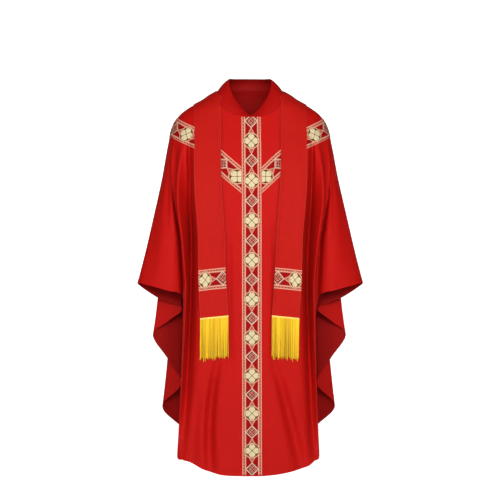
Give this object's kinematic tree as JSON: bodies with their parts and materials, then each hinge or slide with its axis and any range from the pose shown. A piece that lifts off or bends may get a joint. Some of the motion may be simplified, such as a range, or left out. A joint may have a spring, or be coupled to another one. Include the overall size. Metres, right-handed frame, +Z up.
{
  "type": "clergy robe, a gothic chasuble with its stole",
  "caption": "Hollow draped chasuble with rolled collar, wide cape sleeves, cross-shaped orphrey bands and a fringed stole worn over it.",
  "frame": {"origin": "middle of the neck at shoulder height, where the wearer's shoulders carry the garment", "axes": "+Z up, the front faces -Y, +X is to the viewer's right when looking at the front"},
  "size_m": [0.7274, 0.3822, 1.2701],
  "materials": {
    "red_cloth": "plain wool-blend weave, soft satin sheen",
    "stole_cloth": "plain wool-blend weave, soft satin sheen",
    "orphrey": "woven damask band, cream and gold on dark red",
    "fringe": "yellow rayon bullion fringe"
  },
  "bodies": {
    "root": {"chasuble_front": "red_cloth", "chasuble_back": "red_cloth", "collar": "red_cloth", "stole_neck": "stole_cloth", "stole_left": "stole_cloth", "stole_right": "stole_cloth", "orphrey_column": "orphrey", "orphrey_arm_left": "orphrey", "orphrey_arm_right": "orphrey", "stole_band_left": "orphrey", "stole_band_right": "orphrey", "fringe_left": "fringe", "fringe_right": "fringe"}
  },
  "joints": []
}
